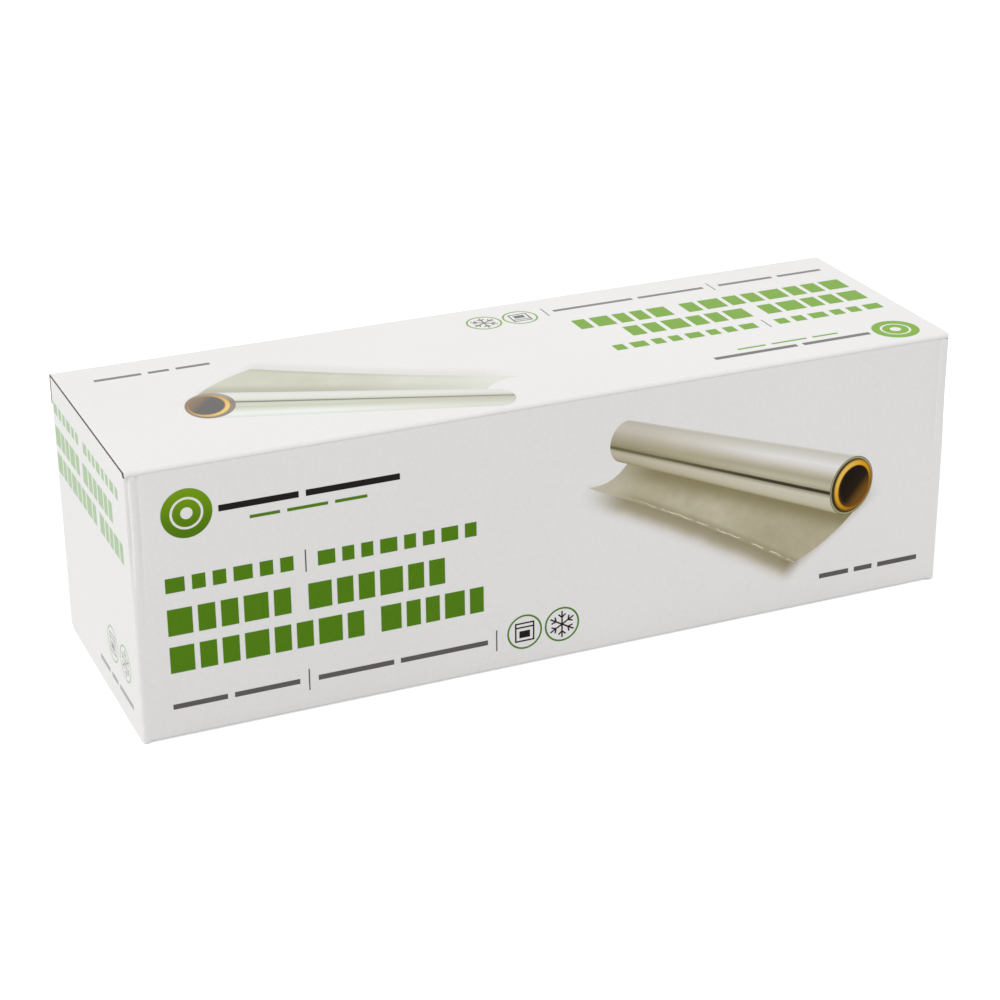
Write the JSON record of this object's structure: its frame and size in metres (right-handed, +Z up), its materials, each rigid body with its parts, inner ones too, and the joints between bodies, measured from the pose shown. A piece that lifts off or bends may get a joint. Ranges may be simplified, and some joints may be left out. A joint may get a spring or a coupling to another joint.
{
  "type": "foil roll carton",
  "caption": "Long rectangular board carton with a lid hinged along its front top edge, holding a wide roll of kitchen foil on a board core tube.",
  "frame": {"origin": "on the floor under the middle of the carton", "axes": "+X along the carton's length and the roll's axis, -Y out of the printed front wall, +Z up"},
  "size_m": [0.324, 0.102, 0.104],
  "materials": {
    "board": "white coated fine-flute board, faint ribs",
    "foil": "bright rolled foil",
    "core_board": "spiral-wound kraft board",
    "green_ink": "matt green ink",
    "dark_ink": "matt near-black ink",
    "grey_ink": "matt grey ink",
    "picture_foil_ink": "printed silver-grey shading",
    "picture_sheet_ink": "printed grey shading",
    "picture_core_ink": "printed amber ring",
    "picture_bore_ink": "printed dark brown"
  },
  "bodies": {
    "carton": {"carton_body": "board", "foil_roll": "foil", "core_tube": "core_board", "front_print_green": "green_ink", "front_print_dark": "dark_ink", "front_print_grey": "grey_ink", "front_picture_roll": "picture_foil_ink", "front_picture_sheet": "picture_sheet_ink", "front_picture_core": "picture_core_ink", "front_picture_bore": "picture_bore_ink", "end_print_green": "green_ink", "end_print_grey": "grey_ink"},
    "lid": {"carton_lid": "board", "lid_print_green": "green_ink", "lid_print_dark": "dark_ink", "lid_print_grey": "grey_ink", "lid_picture_roll": "picture_foil_ink", "lid_picture_sheet": "picture_sheet_ink", "lid_picture_core": "picture_core_ink", "lid_picture_bore": "picture_bore_ink"}
  },
  "joints": [
    {"name": "lid_hinge", "type": "hinge", "parent": "carton", "child": "lid", "pos_m": [0, -0.0498, 0.1028], "axis": [1, 0, 0], "range_deg": [0, 120]}
  ]
}
